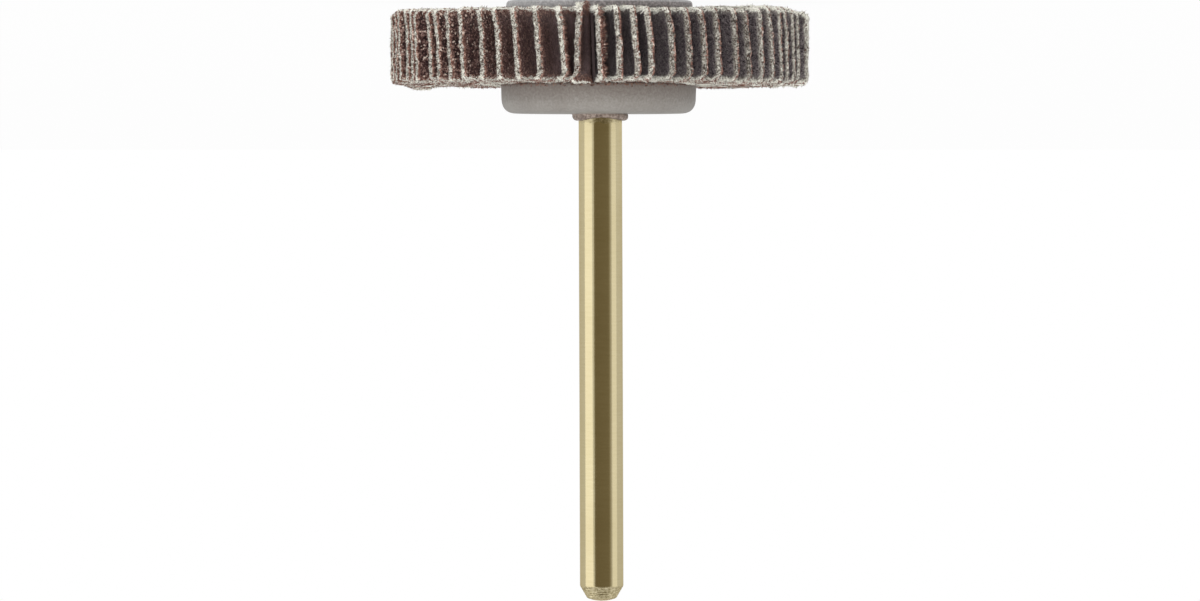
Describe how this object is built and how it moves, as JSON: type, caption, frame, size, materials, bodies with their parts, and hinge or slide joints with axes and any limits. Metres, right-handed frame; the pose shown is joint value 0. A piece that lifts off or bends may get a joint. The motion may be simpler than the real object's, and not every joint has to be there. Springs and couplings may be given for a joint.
{
  "type": "flap wheel",
  "caption": "Mounted abrasive flap wheel: cloth flaps set on edge round a cast resin hub with two flanges, on a straight cylindrical shank with a conical lead.",
  "frame": {"origin": "centre of the hub's head face, the face that the wheel stands on", "axes": "+Z along the shank, from the hub's head face to the shank's free end; the picture was taken from -Y with the shank pointing down the picture"},
  "size_m": [0.029, 0.029, 0.0415],
  "materials": {
    "shank": "turned, slightly satin",
    "resin": "cast resin, cloudy grey, faintly mottled",
    "abrasive_cloth": "reddish-brown grit on one side, dark grey-brown cloth on the other, light frayed edges"
  },
  "bodies": {
    "root": {"shank": "shank", "hub": "resin", "flaps_01": "abrasive_cloth", "flaps_02": "abrasive_cloth", "flaps_03": "abrasive_cloth", "flaps_04": "abrasive_cloth", "flaps_05": "abrasive_cloth", "flaps_06": "abrasive_cloth", "flaps_07": "abrasive_cloth", "flaps_08": "abrasive_cloth", "flaps_09": "abrasive_cloth", "flaps_10": "abrasive_cloth", "flaps_11": "abrasive_cloth", "flaps_12": "abrasive_cloth", "flaps_13": "abrasive_cloth", "flaps_14": "abrasive_cloth", "flaps_15": "abrasive_cloth", "flaps_16": "abrasive_cloth", "flaps_17": "abrasive_cloth", "flaps_18": "abrasive_cloth", "flaps_19": "abrasive_cloth", "flaps_20": "abrasive_cloth", "flaps_21": "abrasive_cloth", "flaps_22": "abrasive_cloth", "flaps_23": "abrasive_cloth", "flaps_24": "abrasive_cloth", "flaps_25": "abrasive_cloth", "flaps_26": "abrasive_cloth", "flaps_27": "abrasive_cloth", "flaps_28": "abrasive_cloth", "flaps_29": "abrasive_cloth", "flaps_30": "abrasive_cloth", "flaps_31": "abrasive_cloth", "flaps_32": "abrasive_cloth", "flaps_33": "abrasive_cloth", "flaps_34": "abrasive_cloth", "flaps_35": "abrasive_cloth", "flaps_36": "abrasive_cloth"}
  },
  "joints": []
}
